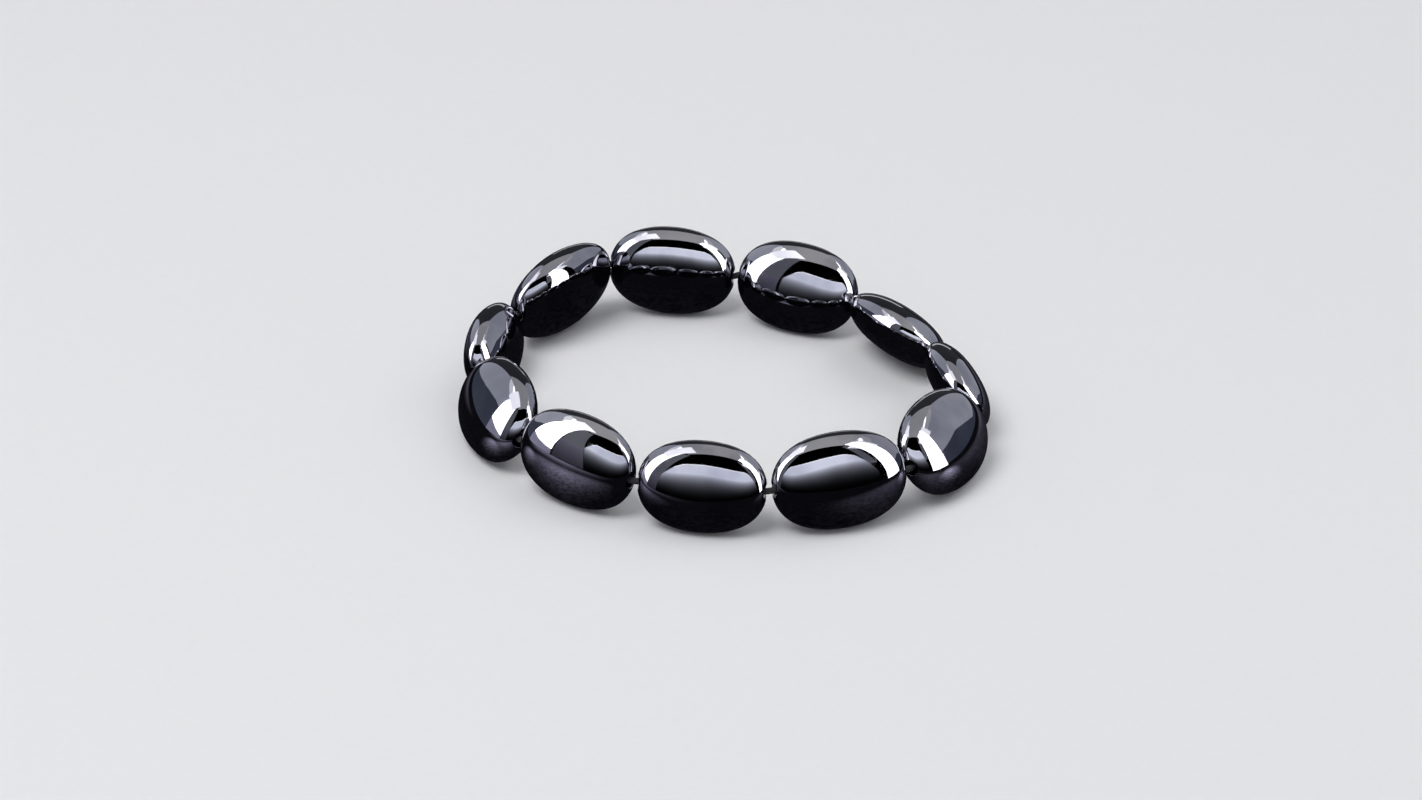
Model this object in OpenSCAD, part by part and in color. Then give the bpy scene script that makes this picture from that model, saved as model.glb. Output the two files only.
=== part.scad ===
// Beaded stretch bracelet: puffed oval beads drilled from end to end and threaded in a closed loop
// on a stretch cord. The loop lies on its side, so each bead stands on its long lower rim.
// The origin is at the middle of the loop's footprint, +Z is up and -Y is the front.

/* [Bead] */
// Length of a bead along its hole
bead_l = 18; // [14:0.5:24]
// Height of a bead across its rim
bead_h = 12.8; // [11:0.1:18]
// Thickness of a bead through its two domed faces
bead_t = 7; // [5.6:0.1:8]

/* [Hole] */
// Diameter of the hole drilled from end to end
hole_d = 1.7; // [1.5:0.1:1.9]
// Diameter of the countersunk mouth at each end of the hole
mouth_d = 2.1; // [1.9:0.1:2.2]
// Depth of the countersink
sink_l = 1.3; // [0.8:0.1:2]

/* [Stretch cord] */
// Diameter of the stretch cord
cord_d = 0.9; // [0.6:0.1:0.9]
// Length of the cord's bend that lies inside each of the two beads at a joint
bend_l = 0.8; // [0.5:0.1:1.5]

/* [Loop] */
// Gap between the ends of neighbouring beads
bead_gap = 0.6; // [0.5:0.05:1]
// Left-to-right place of the first bead's back end
start_x = -34.4; // [-40:0.1:-20]
// Front-to-back place of the first bead's back end
start_y = 0; // [-10:0.1:20]

/* [Hidden] */
$fn = 200;

// Columns of the table of beads
HEADING = 0; // compass of the long axis in plan, anticlockwise from +X
LEAN = 1;    // tilt of the top rim towards the wrist
PITCH = 2;   // dip of the front end
SIZE = 3;    // size against the nominal bead

// One row for each bead, anticlockwise seen from above, starting at the left of the front
BEADS = [
    [-68, 32, 0.5, 1.02],
    [-33, 16, 3, 1],
    [-10, 21, -0.5, 0.98],
    [15, 17, -1, 1.04],
    [61, 31, 3, 1.04],
    [107, 27, 1, 0.9],
    [128, 42, 3, 0.98],
    [158, -22, -2, 1],
    [175, -10, -4, 1],
    [228, 12, 1, 1.04],
    [253, -11, -1.5, 0.9]
];
N = len(BEADS);

// Cutting tools run past the surface that they cut by this much
past = 1;

// Flat sides of the cord, and lengths into which each of its bends is divided
cord_sides = 10;
bend_steps = 4;

// Readers of the table of beads; past the last row it starts again, one turn further round
function heading(i) = BEADS[i % N][HEADING] + 360 * floor(i / N);
function lean(i) = BEADS[i % N][LEAN];
function pitch(i) = BEADS[i % N][PITCH];
function size(i) = BEADS[i % N][SIZE];

// Unit vector of a compass angle in plan
function along(angle) = [cos(angle), sin(angle)];

// Unit vector along a bead's hole, from its back end to its front end
function hole_dir(i) =
    let (a = heading(i), run = cos(pitch(i)), side = -sin(lean(i)) * sin(pitch(i)))
    [run * cos(a) - side * sin(a), run * sin(a) + side * cos(a), -cos(lean(i)) * sin(pitch(i))];
function bead_axis(i) = bead_l * size(i) * hole_dir(i);

// Plan vector from a bead's back end to its front end, and on over the gap to the next bead
function bead_step(i) = [bead_axis(i)[0], bead_axis(i)[1]];
function gap_step(i) = bead_gap * along((heading(i) + heading(i + 1)) / 2);

// Where a walk along the first beads arrives, and the small error with which the loop closes,
// which is shared out over the gaps
function walked(i) = i == 0 ? [0, 0] : walked(i - 1) + bead_step(i - 1) + gap_step(i - 1);
closing_error = walked(N);
function back_end(i) = [start_x, start_y] + walked(i) - closing_error * i / N;

// Height of a bead's centre when its rim stands on the surface: how far the tilted oval reaches
// down by its length, its thickness and its height
function stand_z(i) =
    size(i) / 2 * norm([
        bead_l * sin(pitch(i)) * cos(lean(i)),
        bead_t * sin(lean(i)),
        bead_h * cos(pitch(i)) * cos(lean(i))
    ]);

// Centre of a bead
function centre(i) = let (plan = back_end(i) + bead_step(i) / 2) [plan[0], plan[1], stand_z(i)];

// Puts a bead, drawn with its hole along X and its long rim below, in its place on the loop
module place(i) {
    translate(centre(i))
        rotate([0, 0, heading(i)])
            rotate([-lean(i), 0, 0])
                rotate([0, pitch(i), 0])
                    children();
}

// Solid puffed oval: a ball, with its poles on the hole, drawn out along it and flattened
module bead_blank() {
    scale([bead_l, bead_t, bead_h] / 2)
        rotate([0, 90, 0])
            sphere(r = 1);
}

// Round tool along X for the hole, with a countersink at each end of a bead of the given length
module hole_tool(length) {
    widening = (mouth_d - hole_d) / sink_l;
    rotate([0, 90, 0])
        cylinder(d = hole_d, h = length + 2 * past, center = true);
    for (side = [0, 180])
        rotate([0, 90, side])
            translate([0, 0, length / 2 - sink_l])
                cylinder(d1 = hole_d, d2 = hole_d + widening * (sink_l + past), h = sink_l + past);
}

// One drilled bead in its place
module bead(i) {
    color([0.36, 0.37, 0.41])
        place(i)
            difference() {
                scale(size(i)) bead_blank();
                hole_tool(bead_l * size(i));
            }
}

// Ends of the hole's axis
function back_tip(i) = centre(i) - bead_axis(i) / 2;
function front_tip(i) = centre(i) + bead_axis(i) / 2;

// The cord runs straight through each bead and bends at the joint after it, along a smooth curve
// that starts and ends inside the two holes
function bend_point(i, t) =
    let (a = front_tip(i), b = back_tip(i + 1), u = 1 - t)
    u * u * u * (a - bend_l * hole_dir(i)) + 3 * u * u * t * a + 3 * u * t * t * b
        + t * t * t * (b + bend_l * hole_dir(i + 1));
cord_route = [for (i = [0 : N - 1]) for (k = [0 : bend_steps]) bend_point(i, k / bend_steps)];
rings = len(cord_route);

// Corners of one ring of the cord, square to the route there
function unit(v) = v / norm(v);
function ring(k) =
    let (ahead = cord_route[(k + 1) % rings], behind = cord_route[(k + rings - 1) % rings],
         dir = unit(ahead - behind), side = unit(cross([0, 0, 1], dir)), up = cross(dir, side))
    [for (j = [0 : cord_sides - 1])
        let (a = 360 * j / cord_sides) cord_route[k] + cord_d / 2 * (cos(a) * side + sin(a) * up)];

// Closed loop of stretch cord
module stretch_cord() {
    color([0.05, 0.05, 0.06])
        polyhedron(
            points = [for (k = [0 : rings - 1]) each ring(k)],
            faces = [for (k = [0 : rings - 1]) for (j = [0 : cord_sides - 1])
                let (next = (k + 1) % rings, step = (j + 1) % cord_sides)
                [k * cord_sides + j, k * cord_sides + step, next * cord_sides + step, next * cord_sides + j]],
            convexity = 4);
}

for (i = [0 : N - 1])
    bead(i);
stretch_cord();
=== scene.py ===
import math
from typing import NamedTuple

import bpy
import numpy as np
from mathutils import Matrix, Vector


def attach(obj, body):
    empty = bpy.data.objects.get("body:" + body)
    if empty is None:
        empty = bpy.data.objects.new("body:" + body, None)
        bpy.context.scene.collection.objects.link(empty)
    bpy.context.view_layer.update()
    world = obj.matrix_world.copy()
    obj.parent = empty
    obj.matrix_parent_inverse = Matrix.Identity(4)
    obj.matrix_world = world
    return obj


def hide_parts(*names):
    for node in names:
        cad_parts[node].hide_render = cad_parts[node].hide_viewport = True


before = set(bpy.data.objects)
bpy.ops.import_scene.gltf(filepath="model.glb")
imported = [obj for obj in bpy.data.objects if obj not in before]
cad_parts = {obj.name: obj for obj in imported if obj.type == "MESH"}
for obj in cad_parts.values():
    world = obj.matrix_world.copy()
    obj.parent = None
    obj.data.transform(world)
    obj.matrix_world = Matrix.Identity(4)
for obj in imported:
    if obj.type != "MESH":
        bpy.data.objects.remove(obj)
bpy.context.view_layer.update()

bl_info = {
    "name": "Beaded Stretch Bracelet",
    "version": (1, 0, 0),
    "blender": (4, 5, 0),
    "location": "3D View > Sidebar > Bracelet",
    "description": "Polished oval stone beads on a stretch cord, built around the packed frame",
    "category": "Object",
}

# Units and the photograph's frame
MM = 0.001
PHOTO_WIDTH = 1422
SENSOR_WIDTH = 36.0
BODY = "root"
CORD_NODE = "stretch_cord"
BEAD_NODES = sorted(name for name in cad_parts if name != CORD_NODE)


# Plain arithmetic on the values of a node tree

class Field:
    """A value in a node tree that takes part in plain arithmetic."""

    def __init__(self, tree, socket):
        self.tree = tree
        self.socket = socket

    def __add__(self, other):
        return reckon(self.tree, "ADD", self, other)

    def __radd__(self, other):
        return reckon(self.tree, "ADD", other, self)

    def __sub__(self, other):
        return reckon(self.tree, "SUBTRACT", self, other)

    def __rsub__(self, other):
        return reckon(self.tree, "SUBTRACT", other, self)

    def __mul__(self, other):
        return reckon(self.tree, "MULTIPLY", self, other)

    def __rmul__(self, other):
        return reckon(self.tree, "MULTIPLY", other, self)

    def __truediv__(self, other):
        return reckon(self.tree, "DIVIDE", self, other)

    def __pow__(self, other):
        return reckon(self.tree, "POWER", self, other)

    def __gt__(self, other):
        return reckon(self.tree, "GREATER_THAN", self, other)

    def __abs__(self):
        return reckon(self.tree, "ABSOLUTE", self)


def feed(tree, value, socket):
    """Links a field to an input, or writes a plain value into it."""
    if isinstance(value, Field):
        tree.links.new(value.socket, socket)
    else:
        socket.default_value = value


def add_node(tree, kind, **settings):
    """Adds a node and sets its options."""
    node = tree.nodes.new(kind)
    for option, value in settings.items():
        setattr(node, option, value)
    return node


def reckon(tree, operation, *values):
    """One Math node."""
    node = add_node(tree, "ShaderNodeMath", operation=operation)
    for place, value in enumerate(values):
        feed(tree, value, node.inputs[place])
    return Field(tree, node.outputs[0])


def sine(angle):
    return reckon(angle.tree, "SINE", angle)


def cosine(angle):
    return reckon(angle.tree, "COSINE", angle)


def arccosine(value):
    return reckon(value.tree, "ARCCOSINE", value)


def root(value):
    return reckon(value.tree, "SQRT", value)


def sign(value):
    return reckon(value.tree, "SIGN", value)


def choose(test, if_true, if_false):
    """One value where a test is above zero, and another elsewhere."""
    node = add_node(test.tree, "GeometryNodeSwitch", input_type="FLOAT")
    feed(test.tree, test, node.inputs["Switch"])
    feed(test.tree, if_true, node.inputs["True"])
    feed(test.tree, if_false, node.inputs["False"])
    return Field(test.tree, node.outputs[0])


def between(low, high, share):
    """The value a share of the way from low to high."""
    return low + (high - low) * share


def in_reach(tree, value, low, high, start, end):
    """Maps a value from one range to another, held at both ends, with a smooth step."""
    node = add_node(tree, "ShaderNodeMapRange", interpolation_type="SMOOTHSTEP")
    feed(tree, value, node.inputs["Value"])
    feed(tree, low, node.inputs["From Min"])
    feed(tree, high, node.inputs["From Max"])
    feed(tree, start, node.inputs["To Min"])
    feed(tree, end, node.inputs["To Max"])
    return Field(tree, node.outputs[0])


def vector_of(tree, x, y, z):
    """A vector from its three parts."""
    node = add_node(tree, "ShaderNodeCombineXYZ")
    for value, socket in zip((x, y, z), node.inputs):
        feed(tree, value, socket)
    return Field(tree, node.outputs[0])


def vector_work(tree, operation, *values, scale=None):
    """One Vector Math node that gives a vector."""
    node = add_node(tree, "ShaderNodeVectorMath", operation=operation)
    for place, value in enumerate(values):
        feed(tree, value, node.inputs[place])
    if scale is not None:
        feed(tree, scale, node.inputs["Scale"])
    return Field(tree, node.outputs[0])


# Trees of geometry nodes and what comes out of them

INPUT_KINDS = {
    "value": "NodeSocketFloat",
    "count": "NodeSocketInt",
    "vector": "NodeSocketVector",
    "material": "NodeSocketMaterial",
}


def new_tree(name, inputs):
    """A geometry node group with named inputs, and a field for each of them."""
    tree = bpy.data.node_groups.new(name, "GeometryNodeTree")
    interface = tree.interface
    interface.new_socket("Geometry", in_out="INPUT", socket_type="NodeSocketGeometry")
    for label, kind in inputs.items():
        interface.new_socket(label, in_out="INPUT", socket_type=INPUT_KINDS[kind])
    interface.new_socket("Geometry", in_out="OUTPUT", socket_type="NodeSocketGeometry")
    given = add_node(tree, "NodeGroupInput")
    fields = {label: Field(tree, given.outputs[label]) for label in ("Geometry", *inputs)}
    return tree, fields


def end_tree(tree, geometry, material):
    """Ends a tree: smooth shading, real geometry and its material."""
    smooth = add_node(tree, "GeometryNodeSetShadeSmooth")
    real = add_node(tree, "GeometryNodeRealizeInstances")
    finish = add_node(tree, "GeometryNodeSetMaterial")
    out = add_node(tree, "NodeGroupOutput")
    feed(tree, geometry, smooth.inputs["Geometry"])
    tree.links.new(smooth.outputs["Geometry"], real.inputs["Geometry"])
    tree.links.new(real.outputs["Geometry"], finish.inputs["Geometry"])
    feed(tree, material, finish.inputs["Material"])
    tree.links.new(finish.outputs["Geometry"], out.inputs["Geometry"])


def made_by(tree, base, name, values):
    """Runs a tree on a base object, and returns the result as a plain mesh object."""
    modifier = base.modifiers.new("shape", "NODES")
    modifier.node_group = tree
    sockets = {item.name: item.identifier for item in tree.interface.items_tree
               if item.in_out == "INPUT"}
    for label, value in values.items():
        modifier[sockets[label]] = value
    depsgraph = bpy.context.evaluated_depsgraph_get()
    mesh = bpy.data.meshes.new_from_object(base.evaluated_get(depsgraph))
    mesh.name = name
    base.modifiers.remove(modifier)
    bpy.data.objects.remove(base)
    piece = bpy.data.objects.new(name, mesh)
    bpy.context.scene.collection.objects.link(piece)
    if not mesh.polygons:
        raise RuntimeError(f"{name} came out empty")
    return piece


def empty_base(name):
    """An empty object for a tree that makes its own geometry."""
    base = bpy.data.objects.new(name, bpy.data.meshes.new(name))
    bpy.context.scene.collection.objects.link(base)
    return base


# Where the beads of the frame are

def bead_place(node):
    """Centre, hole direction, thickness direction, height direction and height of a CAD bead."""
    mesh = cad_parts[node].data
    mesh.calc_loop_triangles()
    corners = np.array([corner.co for corner in mesh.vertices])
    triangles = np.array([triangle.vertices for triangle in mesh.loop_triangles])
    a, b, c = corners[triangles.T]
    area = np.linalg.norm(np.cross(b - a, c - a), axis=1)
    middle = (a + b + c) / 3
    centre = np.average(middle, axis=0, weights=area)
    offset = middle - centre
    spread = offset.T @ (offset * area[:, None])
    # The bead is thinnest through its domes and longest along its hole
    across, up, along = np.linalg.eigh(spread)[1].T
    if up[2] < 0:
        up = -up
    # The hole runs anticlockwise round the wrist, and the thickness points inwards
    if np.cross(centre, along)[2] < 0:
        along = -along
    across = np.cross(up, along)
    reach = (corners - centre) @ up
    height = reach.max() - reach.min()
    return Vector(centre), Vector(along), Vector(across), Vector(up), float(height)


PLACES = {node: bead_place(node) for node in BEAD_NODES}


# Sizes and colours that a user can change

def length_property(label, note, value, low=0.0):
    """A length of at most two metres."""
    return bpy.props.FloatProperty(
        name=label, description=note, default=value, min=low, max=2.0,
        precision=5, subtype="DISTANCE", unit="LENGTH")


def share_property(label, note, value):
    """A share or a roughness, from 0 to 1."""
    return bpy.props.FloatProperty(
        name=label, description=note, default=value, min=0.0, max=1.0, subtype="FACTOR")


def angle_property(label, note, degrees):
    """An angle that is given in degrees."""
    return bpy.props.FloatProperty(
        name=label, description=note, default=math.radians(degrees),
        subtype="ANGLE", unit="ROTATION")


def count_property(label, note, value, low, high):
    """A whole number."""
    return bpy.props.IntProperty(name=label, description=note, default=value, min=low, max=high)


def colour_property(label, note, value):
    """A plain colour."""
    return bpy.props.FloatVectorProperty(
        name=label, description=note, default=value, min=0.0, max=1.0, size=3, subtype="COLOR")


class BeadSettings(bpy.types.PropertyGroup):
    """Sizes and finish of the stone beads."""
    length: length_property("Length", "Length of a nominal bead along its hole", 18 * MM)
    height: length_property("Height", "Height of a nominal bead across its rim", 12.8 * MM)
    thickness: length_property("Thickness", "Thickness through the two domed faces", 7 * MM)
    corner_fullness: share_property("Corner fullness", "How far the oval's corners stand out", 0.16)
    end_fullness: share_property("End fullness", "How full the faces stay towards the ends", 0.15)
    rim_fullness: share_property("Rim fullness", "How full the faces stay towards the rim", 0.12)
    hole: length_property("Hole", "Diameter of the drilled hole", 1.7 * MM)
    mouth: length_property("Mouth", "Diameter of the countersunk mouth", 2.1 * MM)
    sink: length_property("Countersink", "Depth of the countersink", 1.3 * MM)
    lip: length_property("Lip", "Radius that softens the edge of the mouth", 0.12 * MM)
    unevenness: length_property("Unevenness", "How far polishing leaves the faces off", 0.02 * MM)
    stone: colour_property("Stone", "Colour of the polished stone", (0.36, 0.358, 0.388))
    deep_stone: colour_property("Deep stone", "Colour of the darker clouds in the stone",
                                (0.25, 0.248, 0.285))
    gloss_roughness: share_property("Polish", "Roughness of the polished faces", 0.035)
    worn_roughness: share_property("Wear", "Roughness of the rubbed places", 0.11)


class CordSettings(bpy.types.PropertyGroup):
    """Sizes and finish of the stretch cord."""
    diameter: length_property("Diameter", "Diameter of the stretch cord", 0.9 * MM)
    bend: length_property("Bend", "Length of each bend that lies inside a bead", 0.8 * MM)
    strand_depth: share_property("Strand depth", "Depth of the grooves between strands", 0.14)
    strands: count_property("Strands", "Strands seen round the cord", 9, 3, 24)
    twists: count_property("Twists", "Turns of the strands on their way round the loop", 54, 1, 400)
    fibre: colour_property("Fibre", "Colour of the cord's fibre", (0.018, 0.018, 0.02))


class StageSettings(bpy.types.PropertyGroup):
    """Floor, light and camera."""
    floor_colour: colour_property("Floor", "Colour of the floor", (0.78, 0.78, 0.79))
    air_colour: colour_property("Air", "Colour of the soft light all round", (0.80, 0.81, 0.84))
    camera_elevation: angle_property("Elevation", "Height of the camera above the horizon", 30.22)
    camera_distance: length_property("Distance", "Distance of the camera from its target", 823 * MM)
    target_x: length_property("Target X", "Left-to-right place looked at", -1.81 * MM, low=-1.0)
    target_y: length_property("Target Y", "Front-to-back place looked at", -7.16 * MM, low=-1.0)
    target_z: length_property("Target Z", "Height looked at", 6.5 * MM, low=-1.0)
    focal_pixels: bpy.props.FloatProperty(
        name="Focal length", description="Focal length in the photograph's pixels",
        default=6007.0, min=100.0, max=20000.0)


# The stone bead

BEAD_INPUTS = {
    "Length": "value", "Height": "value", "Thickness": "value", "Corner fullness": "value",
    "End fullness": "value", "Rim fullness": "value", "Hole": "value", "Mouth": "value",
    "Countersink": "value", "Lip": "value", "Size": "value", "Unevenness": "value",
    "Seed": "value", "Centre": "vector", "Along": "vector", "Across": "vector", "Up": "vector",
    "Material": "material",
}
# How finely the surface of a bead and its bore are divided, and how near points are welded
AROUND = 160
SHELL_ROWS = 128
BORE_ROWS = 16
WELD = 0.001 * MM
# Shares of half the bore, from its middle, where the straight part and the countersink end
STRAIGHT_END = 0.5
SINK_END = 0.625
# Rounds in which a point of the ball is found from its place on the shell
BALL_TRIES = 4
# Scale of the waves that polishing leaves, and how late they fade towards the mouths
WAVE_SCALE = 110.0
WAVE_FADE = 6.0


class OvalShell:
    """A bead's outside: a ball drawn out to an oval that stays fuller than an ellipsoid.

    Every point is found from the point of the ball that it is drawn out from."""

    def __init__(self, given):
        self.half_length = given["Length"] / 2.0
        self.half_thickness = given["Thickness"] / 2.0
        self.half_height = given["Height"] / 2.0
        self.corners = given["Corner fullness"]
        self.ends = given["End fullness"]
        self.rims = given["Rim fullness"]

    def point(self, ball_x, ball_y, ball_z):
        """The place on the shell that a point of the ball is drawn out to."""
        square_x = ball_x * ball_x
        square_y = ball_y * ball_y
        square_z = ball_z * ball_z
        corner = self.corners * square_x * square_z
        end = self.ends * square_x * square_y
        rim = self.rims * square_y * square_z
        return (self.half_length * ball_x * (1.0 + corner + end),
                self.half_thickness * ball_y * (1.0 + end + rim),
                self.half_height * ball_z * (1.0 + corner + rim))

    def ball_point(self, y, z):
        """The point of the ball for the place near the +X end that is y and z off the axis."""
        ball_y = y / self.half_thickness
        ball_z = z / self.half_height
        for _ in range(BALL_TRIES):
            _, reached_y, reached_z = self.point(on_ball(ball_y, ball_z), ball_y, ball_z)
            ball_y = ball_y + (y - reached_y) / self.half_thickness
            ball_z = ball_z + (z - reached_z) / self.half_height
        return on_ball(ball_y, ball_z), ball_y, ball_z


def on_ball(ball_y, ball_z):
    """The third coordinate of a point of the unit ball."""
    return root(1.0 - ball_y * ball_y - ball_z * ball_z)


def bead_tree():
    """Geometry nodes that make one drilled bead.

    It is a closed grid that runs over the shell from one mouth to the other, and back through
    the bore."""
    tree, given = new_tree("drilled_bead", BEAD_INPUTS)
    size = given["Size"]
    shell = OvalShell(given)
    rows = SHELL_ROWS + BORE_ROWS
    grid = add_node(tree, "GeometryNodeMeshGrid")
    feed(tree, 1.0, grid.inputs["Size X"])
    feed(tree, 1.0, grid.inputs["Size Y"])
    feed(tree, AROUND + 1, grid.inputs["Vertices X"])
    feed(tree, rows + 1, grid.inputs["Vertices Y"])
    place = add_node(tree, "GeometryNodeInputPosition")
    split = add_node(tree, "ShaderNodeSeparateXYZ")
    tree.links.new(place.outputs[0], split.inputs[0])
    # The turn runs against the grid's X, so that the faces point outwards
    turn = (0.5 - Field(tree, split.outputs["X"])) * math.tau
    row = (Field(tree, split.outputs["Y"]) + 0.5) * float(rows)
    # From +1 at the front mouth to -1 at the back mouth over the shell, and back through the bore
    in_bore = row > SHELL_ROWS + 0.5
    over = 1.0 - row * (2.0 / SHELL_ROWS)
    through = (row - float(SHELL_ROWS)) * (2.0 / BORE_ROWS) - 1.0
    end = choose(in_bore, through, over)
    share = abs(end)
    side = sign(end)
    turn_y = cosine(turn)
    turn_z = sine(turn)
    # The hole isn't scaled with the bead, so its sizes are divided by the bead's size here
    hole_radius = given["Hole"] / size / 2.0
    mouth_radius = given["Mouth"] / size / 2.0
    lip = given["Lip"] / size
    lip_radius = mouth_radius + lip
    lip_ball = shell.ball_point(lip_radius * turn_y, lip_radius * turn_z)
    lip_x = shell.point(*lip_ball)[0]
    # On the ball the rows turn evenly from the middle ring to the lip
    opening = arccosine(lip_ball[1] * turn_y + lip_ball[2] * turn_z)
    lip_share = sine(share * opening) / sine(opening)
    middle_share = sine((1.0 - share) * opening) / sine(opening)
    shell_x, shell_y, shell_z = shell.point(
        lip_share * lip_ball[0],
        middle_share * turn_y + lip_share * lip_ball[1],
        middle_share * turn_z + lip_share * lip_ball[2])
    # The bore: a straight hole, a countersink and a rounded lip
    sink_x = given["Length"] / 2.0 - given["Countersink"] / size
    lip_turn = (1.0 - share) * (math.pi / 2.0 / (1.0 - SINK_END))
    round_x = lip_x - lip * (1.0 - cosine(lip_turn))
    round_radius = mouth_radius + lip * (1.0 - sine(lip_turn))
    sunk = (share - STRAIGHT_END) * (1.0 / (SINK_END - STRAIGHT_END))
    cone_x = between(sink_x, lip_x - lip, sunk)
    cone_radius = between(hole_radius, mouth_radius, sunk)
    straight_x = sink_x * share * (1.0 / STRAIGHT_END)
    on_lip = share > SINK_END
    on_cone = share > STRAIGHT_END
    bore_x = choose(on_lip, round_x, choose(on_cone, cone_x, straight_x))
    bore_radius = choose(on_lip, round_radius, choose(on_cone, cone_radius, hole_radius))
    x = side * choose(in_bore, bore_x, shell_x)
    y = choose(in_bore, bore_radius * turn_y, shell_y)
    z = choose(in_bore, bore_radius * turn_z, shell_z)
    # Hand polishing leaves the shell slightly uneven, but not at the mouths
    noise = add_node(tree, "ShaderNodeTexNoise", noise_dimensions="4D")
    feed(tree, vector_of(tree, x, y, z), noise.inputs["Vector"])
    feed(tree, given["Seed"], noise.inputs["W"])
    feed(tree, WAVE_SCALE, noise.inputs["Scale"])
    feed(tree, 0.0, noise.inputs["Detail"])
    fade = choose(in_bore, 0.0, 1.0 - share ** WAVE_FADE)
    sunk_in = Field(tree, noise.outputs[0]) * fade * given["Unevenness"]
    shrink = (1.0 - sunk_in * 2.0 / given["Thickness"]) * size
    shift = (0.0, 0.0, 0.0)
    for direction, part in (("Along", x), ("Across", y), ("Up", z)):
        step = vector_work(tree, "SCALE", given[direction], scale=part * shrink)
        shift = vector_work(tree, "ADD", shift, step)
    moved = add_node(tree, "GeometryNodeSetPosition")
    tree.links.new(grid.outputs["Mesh"], moved.inputs["Geometry"])
    feed(tree, vector_work(tree, "ADD", given["Centre"], shift), moved.inputs["Position"])
    weld = add_node(tree, "GeometryNodeMergeByDistance")
    tree.links.new(moved.outputs["Geometry"], weld.inputs["Geometry"])
    feed(tree, WELD, weld.inputs["Distance"])
    end_tree(tree, Field(tree, weld.outputs["Geometry"]), given["Material"])
    return tree


# Materials

# Sockets of a Mix node that mixes two colours
MIX_LOW = 6
MIX_HIGH = 7
MIX_RESULT = 2
# Stone: scale and detail of its clouds, rubbed places and hairlines, and where they fade in
CLOUD_SCALE = 130.0
CLOUD_DETAIL = 3.0
CLOUD_EDGES = (0.35, 0.65)
RUB_SCALE = 420.0
RUB_DETAIL = 4.0
RUB_COARSENESS = 0.6
RUB_EDGES = (0.5, 0.78)
HAIRLINE_SCALE = 900.0
HAIRLINE_DETAIL = 3.0
HAIRLINE_STRETCH = (1.0, 1.0, 9.0)
# Pits: scale of the cells in which they lie, the draw above which a cell holds one, the reach of
# the smallest and what the draw adds to it, their dark colour, which is painted shade inside the
# pit, and their roughness
PIT_CELLS = 210.0
PIT_DRAW = 0.72
PIT_SMALLEST = 0.02
PIT_SPREAD = 0.045
PIT_SHADE_COLOUR = (0.03, 0.03, 0.034)
PIT_ROUGHNESS = 0.4
# Depth of a pit, and the parts of it to which hairlines and rubbed places stand out
PIT_DEPTH = 0.06 * MM
HAIRLINE_RELIEF = 0.004
RUB_RELIEF = 0.003
# Fibre: scale and detail of its fuzz, how much lighter the loose hairs are, and its gloss
FUZZ_SCALE = 5200.0
FUZZ_DETAIL = 3.0
FUZZ_COARSENESS = 0.7
FUZZ_LIGHTER = 2.6
FUZZ_ROUGHNESS = (0.65, 0.9)
FUZZ_DEPTH = 0.03 * MM
FIBRE_SPECULAR = 0.15
FIBRE_SHEEN = 0.05
FIBRE_SHEEN_ROUGHNESS = 0.5


def new_material(name):
    """A material with its shader, its tree and a field of the object's own coordinates."""
    material = bpy.data.materials.new(name)
    material.use_nodes = True
    tree = material.node_tree
    shader = tree.nodes["Principled BSDF"]
    coordinates = add_node(tree, "ShaderNodeTexCoord")
    return material, tree, shader, Field(tree, coordinates.outputs["Object"])


def noise_field(tree, place, scale, detail, roughness=0.5):
    """Noise between 0 and 1 over a place."""
    node = add_node(tree, "ShaderNodeTexNoise")
    feed(tree, place, node.inputs["Vector"])
    feed(tree, scale, node.inputs["Scale"])
    feed(tree, detail, node.inputs["Detail"])
    feed(tree, roughness, node.inputs["Roughness"])
    return Field(tree, node.outputs[0])


def mixed_colour(tree, share, low, high):
    """The colour a share of the way from one colour or field to another."""
    node = add_node(tree, "ShaderNodeMix", data_type="RGBA")
    feed(tree, share, node.inputs["Factor"])
    for colour, socket in ((low, MIX_LOW), (high, MIX_HIGH)):
        feed(tree, colour if isinstance(colour, Field) else (*colour, 1.0), node.inputs[socket])
    return Field(tree, node.outputs[MIX_RESULT])


def bump(tree, shader, height, distance):
    """Gives a shader relief, as deep as the distance where the height goes from 0 to 1."""
    node = add_node(tree, "ShaderNodeBump")
    feed(tree, height, node.inputs["Height"])
    feed(tree, distance, node.inputs["Distance"])
    tree.links.new(node.outputs["Normal"], shader.inputs["Normal"])


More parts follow.
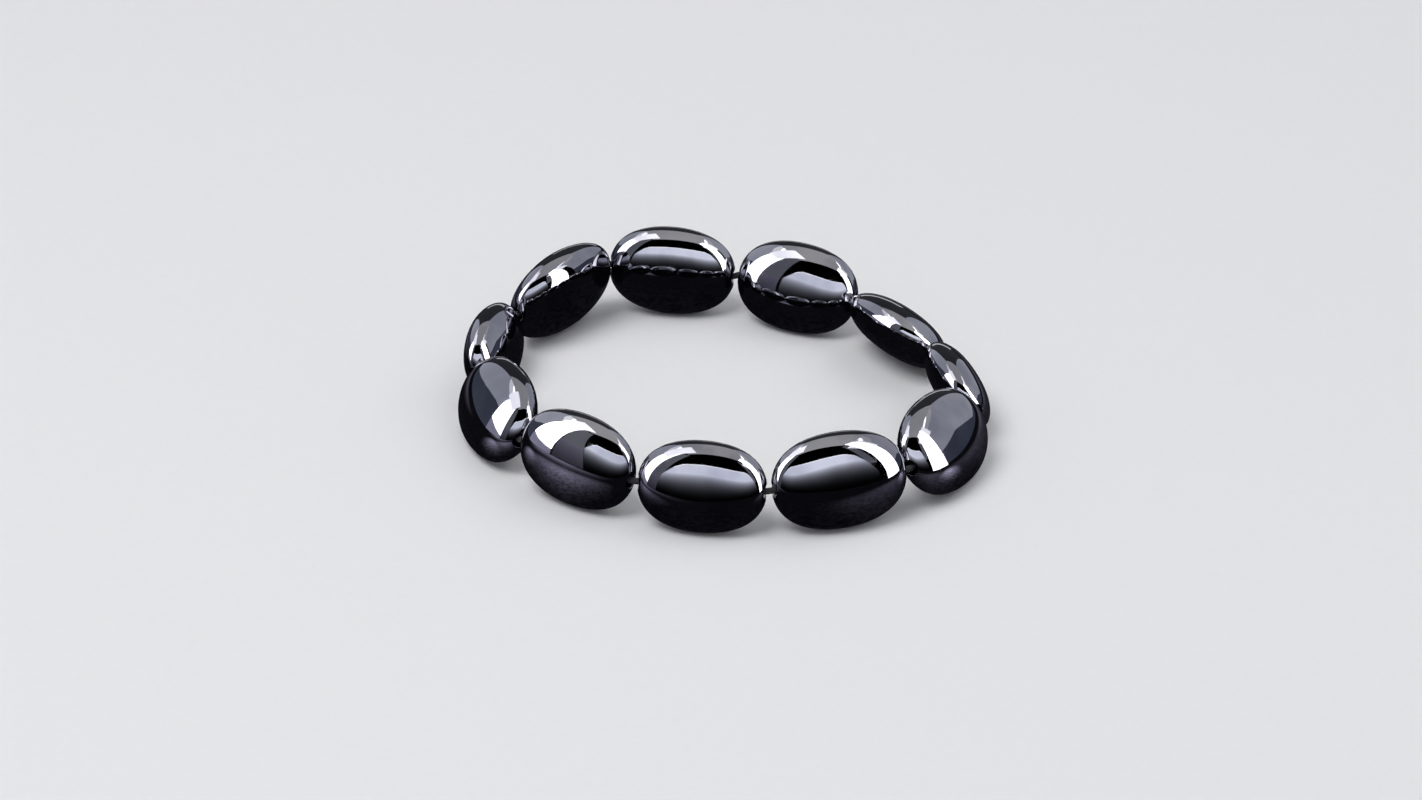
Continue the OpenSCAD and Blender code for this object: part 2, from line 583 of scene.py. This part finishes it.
def stone_material(settings):
    """Polished dark stone with a metal lustre: faint clouds, rubbed places, hairlines, and pits
    darkened with painted shade.
    """
    material, tree, shader, place = new_material("polished_hematite")
    clouds = noise_field(tree, place, CLOUD_SCALE, CLOUD_DETAIL)
    cloudy = in_reach(tree, clouds, *CLOUD_EDGES, 0.0, 1.0)
    colour = mixed_colour(tree, cloudy, tuple(settings.deep_stone), tuple(settings.stone))
    # A few of the cells hold a small pit, sunk by the bump and darkened with painted shade
    cells = add_node(tree, "ShaderNodeTexVoronoi")
    feed(tree, place, cells.inputs["Vector"])
    feed(tree, PIT_CELLS, cells.inputs["Scale"])
    draws = add_node(tree, "ShaderNodeSeparateColor")
    tree.links.new(cells.outputs["Color"], draws.inputs["Color"])
    has_pit = Field(tree, draws.outputs["Red"]) > PIT_DRAW
    pit_reach = Field(tree, draws.outputs["Green"]) * PIT_SPREAD + PIT_SMALLEST
    from_middle = Field(tree, cells.outputs["Distance"])
    pit = in_reach(tree, from_middle, 0.0, pit_reach, 1.0, 0.0) * has_pit
    # The pit's dark colour is painted shade inside the pit
    feed(tree, mixed_colour(tree, pit, colour, PIT_SHADE_COLOUR), shader.inputs["Base Color"])
    rubs = noise_field(tree, place, RUB_SCALE, RUB_DETAIL, RUB_COARSENESS)
    rubbed = in_reach(tree, rubs, *RUB_EDGES, 0.0, 1.0)
    gloss = between(settings.gloss_roughness, settings.worn_roughness, rubbed)
    feed(tree, gloss + pit * PIT_ROUGHNESS, shader.inputs["Roughness"])
    stretched = vector_work(tree, "MULTIPLY", place, HAIRLINE_STRETCH)
    hairlines = noise_field(tree, stretched, HAIRLINE_SCALE, HAIRLINE_DETAIL)
    bump(tree, shader, hairlines * HAIRLINE_RELIEF + rubbed * RUB_RELIEF - pit, PIT_DEPTH)
    shader.inputs["Metallic"].default_value = 1.0
    return material


def cord_material(settings):
    """Matte elastic fibre, with short loose hairs and a faint sheen."""
    material, tree, shader, place = new_material("elastic_fibre")
    fuzz = noise_field(tree, place, FUZZ_SCALE, FUZZ_DETAIL, FUZZ_COARSENESS)
    light = tuple(min(1.0, FUZZ_LIGHTER * part) for part in settings.fibre)
    colour = mixed_colour(tree, fuzz, tuple(settings.fibre), light)
    feed(tree, colour, shader.inputs["Base Color"])
    feed(tree, between(*FUZZ_ROUGHNESS, fuzz), shader.inputs["Roughness"])
    bump(tree, shader, fuzz, FUZZ_DEPTH)
    shader.inputs["Specular IOR Level"].default_value = FIBRE_SPECULAR
    shader.inputs["Sheen Weight"].default_value = FIBRE_SHEEN
    shader.inputs["Sheen Roughness"].default_value = FIBRE_SHEEN_ROUGHNESS
    return material


# The stretch cord

CORD_INPUTS = {
    "Diameter": "value", "Strands": "value", "Strand depth": "value", "Twists": "value",
    "Material": "material",
}
# Lengths into which the cord is divided, and sides round it
CORD_STEPS = 1400
CORD_SIDES = 45


def cord_tree():
    """Geometry nodes that run a twisted, strand-grooved cord along a closed curve."""
    tree, given = new_tree("twisted_cord", CORD_INPUTS)
    steps = add_node(tree, "GeometryNodeResampleCurve")
    feed(tree, given["Geometry"], steps.inputs["Curve"])
    feed(tree, CORD_STEPS, steps.inputs["Count"])
    way = add_node(tree, "GeometryNodeSplineParameter")
    tilt = add_node(tree, "GeometryNodeSetCurveTilt")
    tree.links.new(steps.outputs[0], tilt.inputs["Curve"])
    feed(tree, Field(tree, way.outputs["Factor"]) * given["Twists"] * math.tau, tilt.inputs["Tilt"])
    ring = add_node(tree, "GeometryNodeCurvePrimitiveCircle")
    feed(tree, CORD_SIDES, ring.inputs["Resolution"])
    feed(tree, 1.0, ring.inputs["Radius"])
    round_way = add_node(tree, "GeometryNodeSplineParameter")
    groove = cosine(Field(tree, round_way.outputs["Factor"]) * given["Strands"] * math.tau)
    radius = (1.0 - given["Strand depth"] * (0.5 - groove * 0.5)) * given["Diameter"] * 0.5
    place = add_node(tree, "GeometryNodeInputPosition")
    grooved = add_node(tree, "GeometryNodeSetPosition")
    tree.links.new(ring.outputs["Curve"], grooved.inputs["Geometry"])
    grown = vector_work(tree, "SCALE", Field(tree, place.outputs[0]), scale=radius)
    feed(tree, grown, grooved.inputs["Position"])
    body = add_node(tree, "GeometryNodeCurveToMesh")
    tree.links.new(tilt.outputs[0], body.inputs["Curve"])
    tree.links.new(grooved.outputs["Geometry"], body.inputs["Profile Curve"])
    end_tree(tree, Field(tree, body.outputs[0]), given["Material"])
    return tree


def cord_route(bend, bead_settings):
    """A closed curve that runs straight through each bead and bends smoothly between two."""
    curve = bpy.data.curves.new("cord_route", "CURVE")
    curve.dimensions = "3D"
    spline = curve.splines.new("BEZIER")
    spline.bezier_points.add(2 * len(BEAD_NODES) - 1)
    spline.use_cyclic_u = True
    for number, node in enumerate(BEAD_NODES):
        centre, along, _, _, height = PLACES[node]
        half = bead_settings.length * height / bead_settings.height / 2.0
        for point, side in zip(spline.bezier_points[2 * number:2 * number + 2], (-1.0, 1.0)):
            point.handle_left_type = "FREE"
            point.handle_right_type = "FREE"
            point.co = centre + along * side * (half - bend)
            outer = centre + along * side * half
            inner = centre + along * side * (half - bend) / 3.0
            point.handle_left = outer if side < 0 else inner
            point.handle_right = inner if side < 0 else outer
    base = bpy.data.objects.new("cord_route", curve)
    bpy.context.scene.collection.objects.link(base)
    return base


# Stage

WHITE = (1.0, 1.0, 1.0)
COOL = (0.86, 0.90, 1.0)
BLUE = (0.62, 0.72, 1.0)
LAVENDER = (0.80, 0.77, 1.0)
# Floor board: the sides and depth that it covers, scale and detail of its tooth, how dark the
# tooth gets, and its gloss
FLOOR_SIDES = (-3.0, 3.0)
TOOTH_SCALE = 900.0
TOOTH_DETAIL = 3.0
TOOTH_SHADE = 0.97
BOARD_ROUGHNESS = 0.9
BOARD_SPECULAR = 0.2
# Glowing sheet under the floor that only the stone mirrors, a painted reflection of a dark grained
# surface with painted pools of light: its height, its painted glow away from the pools, the scale,
# detail and coarseness of its grain, where the grain fades in, and how far it changes the glow
GROUND_HEIGHT = -0.4 * MM
PAINTED_GROUND_GLOW = 0.012
GRAIN_SCALE = 1100.0
GRAIN_DETAIL = 3.0
GRAIN_COARSENESS = 0.6
GRAIN_EDGES = (0.35, 0.65)
GRAIN_CONTRAST = (0.5, 1.5)
# Soft light all round, and the nearest and furthest things that the camera sees
AIR_STRENGTH = 0.5
CLIP_START = 0.01
CLIP_END = 20.0


class PaintedLightPool(NamedTuple):
    """A soft pool of painted light on the glowing sheet: its middle, its reach and its strength."""
    x: float
    y: float
    reach_x: float
    reach_y: float
    strength: float


PAINTED_LIGHT_POOLS = (
    PaintedLightPool(-52 * MM, -38 * MM, 38 * MM, 25 * MM, 0.45),
    PaintedLightPool(-260 * MM, -90 * MM, 240 * MM, 110 * MM, 0.60),
    PaintedLightPool(-58 * MM, -18 * MM, 26 * MM, 9 * MM, 0.60),
    PaintedLightPool(48 * MM, -42 * MM, 36 * MM, 26 * MM, 0.15),
    PaintedLightPool(75 * MM, -5 * MM, 50 * MM, 40 * MM, 0.10),
    PaintedLightPool(60 * MM, -26 * MM, 26 * MM, 9 * MM, 0.90),
    PaintedLightPool(0.0, 60 * MM, 72 * MM, 34 * MM, 0.24),
    PaintedLightPool(68 * MM, 34 * MM, 38 * MM, 34 * MM, 0.20),
    PaintedLightPool(-70 * MM, 46 * MM, 38 * MM, 34 * MM, 0.20),
)


class Lamp(NamedTuple):
    """A soft round light that points at the bracelet."""
    name: str
    place: tuple
    width: float
    power: float


LAMPS = (
    Lamp("key_light", (-350 * MM, -250 * MM, 900 * MM), 600 * MM, 5.0),
    Lamp("fill_light", (500 * MM, 300 * MM, 800 * MM), 900 * MM, 2.0),
)


# Glowing cards that stand for the lights of a small photo tent: painted reflections, seen only in
# glossy reflections such as the stone's

# Greatest step between the columns of a card, in degrees
CARD_STEP = 6.0
# Radius of the ring on which a card stands. Cards that overlap stand on different rings, or their
# surfaces would cut through each other
SIDE_RING = 590 * MM
BORDER_RING = 550 * MM
LINE_RING = 540 * MM
LEFT_STRIP_RING = 530 * MM
FRONT_RING = 320 * MM
EDGE_RING = 318 * MM
RIGHT_STRIP_RING = 180 * MM


class Card(NamedTuple):
    """A glowing card, a painted reflection, that bends round the bracelet.

    Its outline is a row of compass angles, clockwise from straight behind the bracelet, each with
    the elevations of the card's lower and upper edge. A card with a fade grows from nothing at
    one elevation to its full strength at another."""
    name: str
    outline: tuple
    colour: tuple
    strength: float
    ring: float = SIDE_RING
    fade: tuple = ()
    fade_power: float = 1.0


def band(start, end, low, high):
    """The outline of a card with level edges between two compass angles."""
    return (start, low, high), (end, low, high)


# Compass angles and elevations of the slanting edge between each side's panel and its foot
LEFT_EDGE = ((268, 24), (275, 28), (289, 24), (304, 14), (327, 2), (334, 0))
RIGHT_EDGE = ((26, 0), (54, 3), (73, 14), (95, 15))
PANEL_TOP = 55
BORDER = (50, 72)
LINE = (58, 61.5)

CARDS = (
    Card("front_card", (
        (130, 0, 12), (138, 0, 37), (146, 0, 41.5), (163, 0, 43), (180, 0, 43.5),
        (198, 0, 43), (217, 0, 41), (223, 0, 36), (229, 0, 25),
    ), COOL, 1.9, FRONT_RING, fade=(-8, 28), fade_power=5.0),
    Card("front_edge", (
        (140, 37, 38.2), (146, 41.2, 42.2), (163, 42.7, 43.7), (180, 43.2, 44.2),
        (198, 42.7, 43.7), (217, 40.5, 41.5), (223, 35, 36.5),
    ), WHITE, 3.0, EDGE_RING),
    Card("left_strip", ((250, 5, 78), (281, 13, 78)), WHITE, 7.0, LEFT_STRIP_RING),
    Card("left_strip_foot", ((250, 0, 5), (281, 0, 13)), LAVENDER, 0.7, LEFT_STRIP_RING),
    Card("left_side", band(230, 249, 22, 62), COOL, 0.3),
    Card("left_side_foot", band(230, 249, 0, 22), LAVENDER, 0.35, fade=(-25, 22), fade_power=2.0),
    Card("left_panel", tuple((angle, edge, PANEL_TOP) for angle, edge in LEFT_EDGE), COOL, 0.82),
    Card("left_foot", tuple((angle, 0, edge) for angle, edge in LEFT_EDGE), BLUE, 0.16),
    Card("left_border", band(267, 334, *BORDER), WHITE, 1.8, BORDER_RING),
    Card("left_line", band(265, 334, *LINE), WHITE, 5.0, LINE_RING),
    Card("right_strip", band(100, 124, 0, 64), WHITE, 7.0, RIGHT_STRIP_RING),
    Card("right_side", band(125, 134, 22, 62), COOL, 0.3),
    Card("right_panel", tuple((angle, edge, PANEL_TOP) for angle, edge in RIGHT_EDGE), COOL, 0.70),
    Card("right_foot", tuple((angle, 0, edge) for angle, edge in RIGHT_EDGE), BLUE, 0.14),
    Card("right_border", band(26, 97, *BORDER), WHITE, 0.9, BORDER_RING),
    Card("right_line", band(26, 99, *LINE), WHITE, 5.0, LINE_RING),
    Card("back_strip", band(346, 376, 0, 7), WHITE, 0.9, LINE_RING),
    Card("back_card", band(334, 386, 0, 48), COOL, 0.07),
)


class TopCard(NamedTuple):
    """A white glowing card overhead, a painted reflection seen only in glossy reflections: the
    places between which it lies, its height and its strength.
    """
    name: str
    sides: tuple
    depth: tuple
    height: float
    strength: float


TOP_CARDS = (
    TopCard("top_middle", (-160 * MM, 198 * MM), (-119 * MM, 318 * MM), 380 * MM, 0.7),
    TopCard("top_left", (-331 * MM, -103 * MM), (-86 * MM, 101 * MM), 378 * MM, 3.0),
    TopCard("top_right", (200 * MM, 414 * MM), (-190 * MM, 4 * MM), 378 * MM, 2.7),
)


def stage_sheet(name, corners, faces, material):
    """A sheet that is part of the stage."""
    mesh = bpy.data.meshes.new(name)
    mesh.from_pydata(corners, [], faces)
    mesh.materials.append(material)
    plane = bpy.data.objects.new(name, mesh)
    bpy.context.scene.collection.objects.link(plane)
    return plane


def level_sheet(name, sides, depth, height, material):
    """A level sheet between two places from left to right and two from front to back."""
    left, right = sides
    front, rear = depth
    corners = [(left, front, height), (right, front, height), (right, rear, height),
               (left, rear, height)]
    return stage_sheet(name, corners, [(0, 1, 2, 3)], material)


def show_only_in_reflections(thing):
    """Keeps a thing of the stage out of everything but glossy reflections."""
    thing.visible_camera = False
    thing.visible_diffuse = False
    thing.visible_transmission = False
    thing.visible_volume_scatter = False
    thing.visible_shadow = False


def floor_material(settings):
    """Plain pale painted board, with a slight tooth."""
    material, tree, shader, place = new_material("pale_board")
    tooth = noise_field(tree, place, TOOTH_SCALE, TOOTH_DETAIL)
    shade = tuple(TOOTH_SHADE * part for part in settings.floor_colour)
    colour = mixed_colour(tree, tooth, shade, tuple(settings.floor_colour))
    feed(tree, colour, shader.inputs["Base Color"])
    shader.inputs["Roughness"].default_value = BOARD_ROUGHNESS
    shader.inputs["Specular IOR Level"].default_value = BOARD_SPECULAR
    return material


def painted_pool_light(tree, place, pool):
    """The painted light of a pool: its full strength in its middle, and none beyond its reach."""
    offset = vector_work(tree, "SUBTRACT", place, (pool.x, pool.y, 0.0))
    scaled = vector_work(tree, "MULTIPLY", offset, (1.0 / pool.reach_x, 1.0 / pool.reach_y, 0.0))
    distance = add_node(tree, "ShaderNodeVectorMath", operation="LENGTH")
    feed(tree, scaled, distance.inputs[0])
    near = in_reach(tree, Field(tree, distance.outputs["Value"]), 0.0, 1.0, 1.0, 0.0)
    return near * pool.strength


def glow_instead(tree, shader, colour, strength):
    """Puts a plain glow in the place of a material's shader."""
    tree.nodes.remove(shader)
    glow = add_node(tree, "ShaderNodeEmission")
    glow.inputs["Color"].default_value = (*colour, 1.0)
    feed(tree, strength, glow.inputs["Strength"])
    tree.links.new(glow.outputs[0], tree.nodes["Material Output"].inputs["Surface"])


def painted_reflection_material():
    """Glowing sheet of painted light that the lower faces of the stone mirror: a painted reflection
    of a dark grained surface with pools of light.
    """
    material, tree, shader, place = new_material("painted_ground_reflection")
    light = PAINTED_GROUND_GLOW
    for pool in PAINTED_LIGHT_POOLS:
        light = painted_pool_light(tree, place, pool) + light
    grain = noise_field(tree, place, GRAIN_SCALE, GRAIN_DETAIL, GRAIN_COARSENESS)
    contrast = in_reach(tree, grain, *GRAIN_EDGES, *GRAIN_CONTRAST)
    glow_instead(tree, shader, LAVENDER, light * contrast)
    return material


def glow_material(name, colour, strength, fade=(), fade_power=1.0):
    """Plain glow. With a fade it grows from nothing at one height to full strength at another."""
    material, tree, shader, place = new_material(name)
    if fade:
        start, end = fade
        split = add_node(tree, "ShaderNodeSeparateXYZ")
        feed(tree, place, split.inputs[0])
        share = (Field(tree, split.outputs["Z"]) - start) / (end - start)
        held = reckon(tree, "MINIMUM", reckon(tree, "MAXIMUM", share, 0.0), 1.0)
        strength = held ** fade_power * strength
    glow_instead(tree, shader, colour, strength)
    return material


def height_seen(elevation, ring):
    """Height on a ring of this radius that is seen from the middle under this elevation."""
    return ring * math.tan(math.radians(elevation))


def add_card(card):
    """Stands a card on its ring."""
    angles, lows, highs = np.array(card.outline, float).T
    columns = np.union1d(angles, np.arange(angles[0], angles[-1], CARD_STEP))
    corners = []
    for angle in columns:
        turn = math.radians(angle)
        for edge in (lows, highs):
            height = height_seen(float(np.interp(angle, angles, edge)), card.ring)
            corners.append((card.ring * math.sin(turn), card.ring * math.cos(turn), height))
    faces = [(2 * column, 2 * column + 1, 2 * column + 3, 2 * column + 2)
             for column in range(len(columns) - 1)]
    fade = [height_seen(elevation, card.ring) for elevation in card.fade]
    glow = glow_material(card.name, card.colour, card.strength, fade, card.fade_power)
    show_only_in_reflections(stage_sheet(card.name, corners, faces, glow))


def add_top_card(card):
    """Hangs a level card overhead."""
    glow = glow_material(card.name, WHITE, card.strength)
    show_only_in_reflections(level_sheet(card.name, card.sides, card.depth, card.height, glow))


# Operators

class BRACELET_OT_beads(bpy.types.Operator):
    """Make the eleven drilled stone beads in the places of the frame's beads"""
    bl_idname = "bracelet.beads"
    bl_label = "Stone Beads"

    def execute(self, context):
        settings = context.scene.bracelet_beads
        tree = bead_tree()
        material = stone_material(settings)
        for number, node in enumerate(BEAD_NODES):
            centre, along, across, up, height = PLACES[node]
            piece = made_by(tree, empty_base("bead_base"), f"stone_{node}", {
                "Length": settings.length, "Height": settings.height,
                "Thickness": settings.thickness, "Corner fullness": settings.corner_fullness,
                "End fullness": settings.end_fullness, "Rim fullness": settings.rim_fullness,
                "Hole": settings.hole, "Mouth": settings.mouth, "Countersink": settings.sink,
                "Lip": settings.lip,
                "Size": height / settings.height, "Unevenness": settings.unevenness,
                "Seed": float(number), "Centre": centre, "Along": along, "Across": across,
                "Up": up, "Material": material})
            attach(piece, BODY)
            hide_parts(node)
        return {"FINISHED"}


class BRACELET_OT_cord(bpy.types.Operator):
    """Run the stretch cord through the beads"""
    bl_idname = "bracelet.cord"
    bl_label = "Stretch Cord"

    def execute(self, context):
        settings = context.scene.bracelet_cord
        route = cord_route(settings.bend, context.scene.bracelet_beads)
        piece = made_by(cord_tree(), route, "elastic_cord", {
            "Diameter": settings.diameter, "Strands": float(settings.strands),
            "Strand depth": settings.strand_depth, "Twists": float(settings.twists),
            "Material": cord_material(settings)})
        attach(piece, BODY)
        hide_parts(CORD_NODE)
        return {"FINISHED"}


class BRACELET_OT_stage(bpy.types.Operator):
    """Set up the pale floor, the soft light, the cards that the stone mirrors and the camera"""
    bl_idname = "bracelet.stage"
    bl_label = "Stage"

    def execute(self, context):
        settings = context.scene.bracelet_stage
        floor = level_sheet("floor", FLOOR_SIDES, FLOOR_SIDES, 0.0, floor_material(settings))
        floor.visible_glossy = False
        floor.visible_shadow = False
        # A glowing sheet below the floor that paints the reflection of a dark grained surface with
        # pools of light; only the stone mirrors it
        reflection_sheet = level_sheet("painted_ground_reflection", FLOOR_SIDES, FLOOR_SIDES, GROUND_HEIGHT,
                             painted_reflection_material())
        show_only_in_reflections(reflection_sheet)
        for card in CARDS:
            add_card(card)
        for card in TOP_CARDS:
            add_top_card(card)
        for lamp in LAMPS:
            self.add_lamp(context, lamp)
        self.add_air(context, settings)
        self.add_camera(context, settings)
        return {"FINISHED"}

    def add_lamp(self, context, lamp):
        light = bpy.data.lights.new(lamp.name, "AREA")
        light.shape = "DISK"
        light.size = lamp.width
        light.energy = lamp.power
        lit = bpy.data.objects.new(lamp.name, light)
        lit.location = lamp.place
        lit.rotation_euler = (-Vector(lamp.place)).to_track_quat("-Z", "Y").to_euler()
        lit.visible_glossy = False
        context.scene.collection.objects.link(lit)

    def add_air(self, context, settings):
        world = bpy.data.worlds.new("soft_air")
        world.use_nodes = True
        background = world.node_tree.nodes["Background"]
        background.inputs["Color"].default_value = (*settings.air_colour, 1.0)
        background.inputs["Strength"].default_value = AIR_STRENGTH
        world.cycles_visibility.glossy = False
        context.scene.world = world

    def add_camera(self, context, settings):
        lens = bpy.data.cameras.new("camera")
        lens.sensor_width = SENSOR_WIDTH
        lens.lens = settings.focal_pixels / PHOTO_WIDTH * SENSOR_WIDTH
        lens.clip_start = CLIP_START
        lens.clip_end = CLIP_END
        camera = bpy.data.objects.new("camera", lens)
        rise = settings.camera_elevation
        back = Vector((0.0, -math.cos(rise), math.sin(rise)))
        target = Vector((settings.target_x, settings.target_y, settings.target_z))
        camera.location = target + back * settings.camera_distance
        camera.rotation_euler = (-back).to_track_quat("-Z", "Y").to_euler()
        context.scene.collection.objects.link(camera)
        context.scene.camera = camera
        context.scene.view_settings.view_transform = "Standard"


class BRACELET_PT_panel(bpy.types.Panel):
    """Steps and sizes of the bracelet"""
    bl_idname = "BRACELET_PT_panel"
    bl_label = "Beaded Stretch Bracelet"
    bl_space_type = "VIEW_3D"
    bl_region_type = "UI"
    bl_category = "Bracelet"

    def draw(self, context):
        for label, group in SETTINGS.items():
            box = self.layout.box()
            for item in group.__annotations__:
                box.prop(getattr(context.scene, label), item)
        for step in STEPS:
            self.layout.operator(step.bl_idname)


SETTINGS = {
    "bracelet_beads": BeadSettings,
    "bracelet_cord": CordSettings,
    "bracelet_stage": StageSettings,
}
STEPS = (BRACELET_OT_beads, BRACELET_OT_cord, BRACELET_OT_stage)
CLASSES = (*SETTINGS.values(), *STEPS, BRACELET_PT_panel)


def register():
    for made in CLASSES:
        bpy.utils.register_class(made)
    for label, group in SETTINGS.items():
        setattr(bpy.types.Scene, label, bpy.props.PointerProperty(type=group))


def unregister():
    for label in SETTINGS:
        delattr(bpy.types.Scene, label)
    for made in reversed(CLASSES):
        bpy.utils.unregister_class(made)


def main():
    register()
    bpy.ops.bracelet.beads()
    bpy.ops.bracelet.cord()
    bpy.ops.bracelet.stage()


if __name__ == "__main__":
    main()
